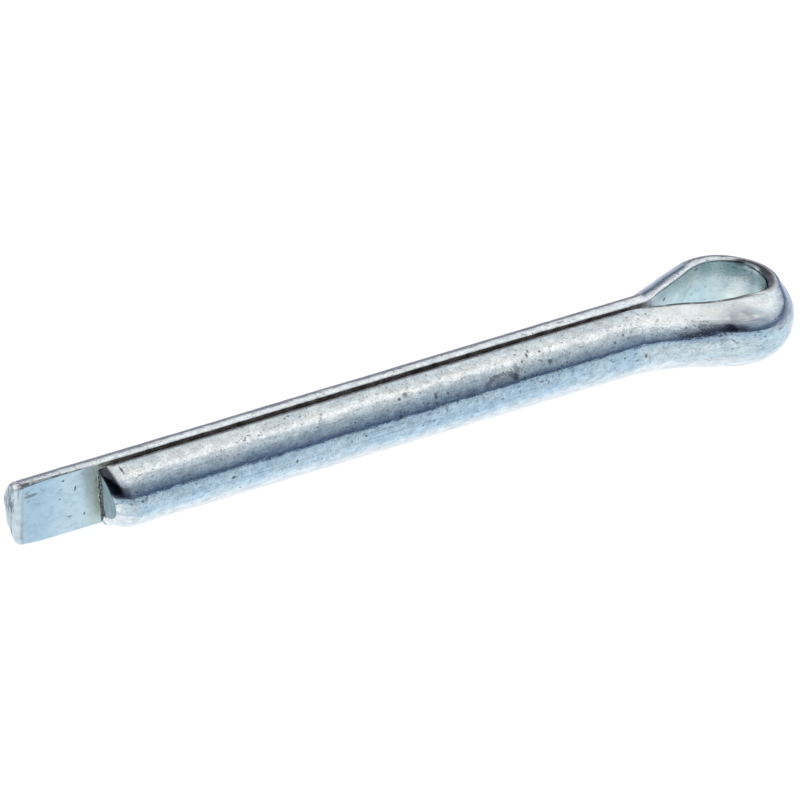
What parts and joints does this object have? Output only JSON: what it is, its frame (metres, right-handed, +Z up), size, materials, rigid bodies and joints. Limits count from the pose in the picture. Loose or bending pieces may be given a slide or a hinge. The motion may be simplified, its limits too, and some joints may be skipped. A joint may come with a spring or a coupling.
{
  "type": "cotter pin",
  "caption": "Split cotter pin of half-round zinc-plated wire folded flat to flat into a teardrop eye, with one leg longer than the other.",
  "frame": {"origin": "on the shank's axis where the legs meet the eye, the point that sits in the mouth of the hole", "axes": "+X along the shank towards the eye, +Y towards the long leg, +Z up out of the plane of the eye as the pin lies flat"},
  "size_m": [0.0446, 0.0067, 0.0036],
  "materials": {
    "zinc_plate": "bright zinc plate with a pale blue tint, fine drawing lines, small specks and sheared ends"
  },
  "bodies": {
    "root": {"cotter_pin": "zinc_plate"}
  },
  "joints": []
}
